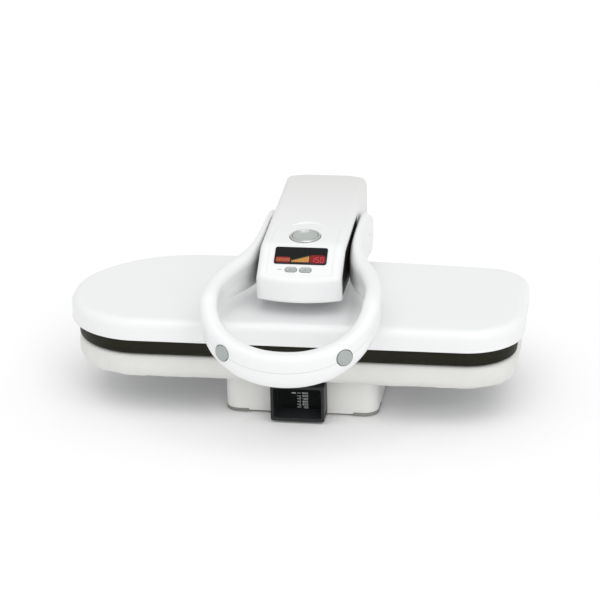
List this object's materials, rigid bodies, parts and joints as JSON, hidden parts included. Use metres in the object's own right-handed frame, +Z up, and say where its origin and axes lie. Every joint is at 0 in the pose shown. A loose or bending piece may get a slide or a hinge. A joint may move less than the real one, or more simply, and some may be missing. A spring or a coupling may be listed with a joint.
{
  "type": "steam ironing press",
  "caption": "Tabletop steam ironing press with a padded lower board, a hinged heated shoe, a horseshoe pressing handle and a pull-out water tank.",
  "frame": {"origin": "on the table, under the middle of the whole press at rest", "axes": "+X to the user's right along the shoe, +Y away from the user, +Z up"},
  "size_m": [0.651, 0.488, 0.2543],
  "materials": {
    "white_shell": "moulded, satin gloss",
    "white_base": "moulded, fine satin",
    "dark_skirt": "heat-resistant, matt",
    "grey_rubber": "matt",
    "black_rubber": "matt",
    "steel": "zinc plated",
    "bright_steel": "ground",
    "bronze": "sintered",
    "cast_aluminium": "cast",
    "coated_plate": "cast, dark non-stick coating",
    "pad_fabric": "woven cotton over foam",
    "foam": "open-cell foam",
    "tank_dark": "moulded, dark grey",
    "tank_gloss": "glossy black",
    "tank_clear": "smoked",
    "button_grey": "satin, silver grey",
    "bezel_silver": "satin silver",
    "display_black": "smoked window",
    "board_green": "solder-resist",
    "insulation": "glass fibre"
  },
  "bodies": {
    "base": {"base_housing": "white_base", "base_plate": "white_base", "rubber_feet": "grey_rubber", "base_screws": "steel", "column_frame": "steel", "column_bolts": "steel", "column_cover": "white_base", "pivot_shaft": "bright_steel", "retaining_rings": "steel", "counterbalance_springs": "bright_steel", "board_spacers": "steel", "board_tray": "steel", "board_pad": "foam", "board_cover": "pad_fabric", "tank_coupling": "tank_dark", "water_pump": "tank_dark", "water_hose": "black_rubber", "power_board": "board_green", "cord_gland": "black_rubber"},
    "tank": {"water_tank": "tank_clear", "tank_lid": "tank_clear", "tank_plug": "black_rubber", "tank_valve": "tank_dark", "tank_front": "tank_dark", "tank_window": "tank_gloss"},
    "arm": {"arm_frame": "steel", "pivot_bushes": "bronze", "handle_bushes": "bronze", "head_cover": "white_shell", "head_side_panels": "dark_skirt", "head_lower_cover": "white_shell", "neck_cover": "white_shell", "platen_cover": "white_shell", "heat_skirt": "dark_skirt", "heating_plate": "coated_plate", "heating_element": "steel", "steam_chamber_lid": "cast_aluminium", "thermostats": "steel", "insulation_sheet": "insulation", "mount_spacers": "black_rubber", "platen_bolts": "steel", "control_panel": "white_shell", "display_window": "display_black", "display_module": "display_black", "control_board": "board_green", "button_bezel": "bezel_silver", "main_switch": "tank_dark", "main_button_spring": "bright_steel"},
    "main_button": {"main_button": "button_grey"},
    "key_left": {"key_left": "button_grey"},
    "key_right": {"key_right": "button_grey"},
    "handle": {"handle_upper_shell": "white_shell", "handle_lower_shell": "white_shell", "handle_frame": "steel", "handle_shafts": "bright_steel", "cam_rollers": "bronze", "steam_switches": "tank_dark", "steam_button_springs": "bright_steel"},
    "steam_button_left": {"steam_button_left": "button_grey"},
    "steam_button_right": {"steam_button_right": "button_grey"}
  },
  "joints": [
    {"name": "arm_lift", "type": "hinge", "parent": "base", "child": "arm", "pos_m": [0.014, 0.206, 0.165], "axis": [-1, 0, 0], "range_deg": [0, 45]},
    {"name": "handle_toggle", "type": "hinge", "parent": "arm", "child": "handle", "pos_m": [0.014, 0.174, 0.178], "axis": [-1, 0, 0], "range_deg": [0, 13.5]},
    {"name": "tank_slide", "type": "slide", "parent": "base", "child": "tank", "axis": [0, -1, 0], "range_m": [0, 0.12]},
    {"name": "main_button_press", "type": "slide", "parent": "arm", "child": "main_button", "axis": [0, 0.0617, -0.9981], "range_m": [0, 0.003], "stiffness_N_per_m": 400, "springref_m": -0.001, "deforming": ["main_button_spring"]},
    {"name": "key_left_press", "type": "slide", "parent": "arm", "child": "key_left", "axis": [0, 0.5567, -0.8307], "range_m": [0, 0.001], "stiffness_N_per_m": 600, "springref_m": -0.0005},
    {"name": "key_right_press", "type": "slide", "parent": "arm", "child": "key_right", "axis": [0, 0.5567, -0.8307], "range_m": [0, 0.001], "stiffness_N_per_m": 600, "springref_m": -0.0005},
    {"name": "steam_button_left_press", "type": "slide", "parent": "handle", "child": "steam_button_left", "axis": [0.5282, 0.8491, 0], "range_m": [0, 0.002], "stiffness_N_per_m": 500, "springref_m": -0.001, "deforming": ["steam_button_springs"]},
    {"name": "steam_button_right_press", "type": "slide", "parent": "handle", "child": "steam_button_right", "axis": [-0.5282, 0.8491, 0], "range_m": [0, 0.002], "stiffness_N_per_m": 500, "springref_m": -0.001, "deforming": ["steam_button_springs"]}
  ],
  "couplings": [
    {"joint": "handle_toggle", "follows": "arm_lift", "ratio": 0.3}
  ]
}
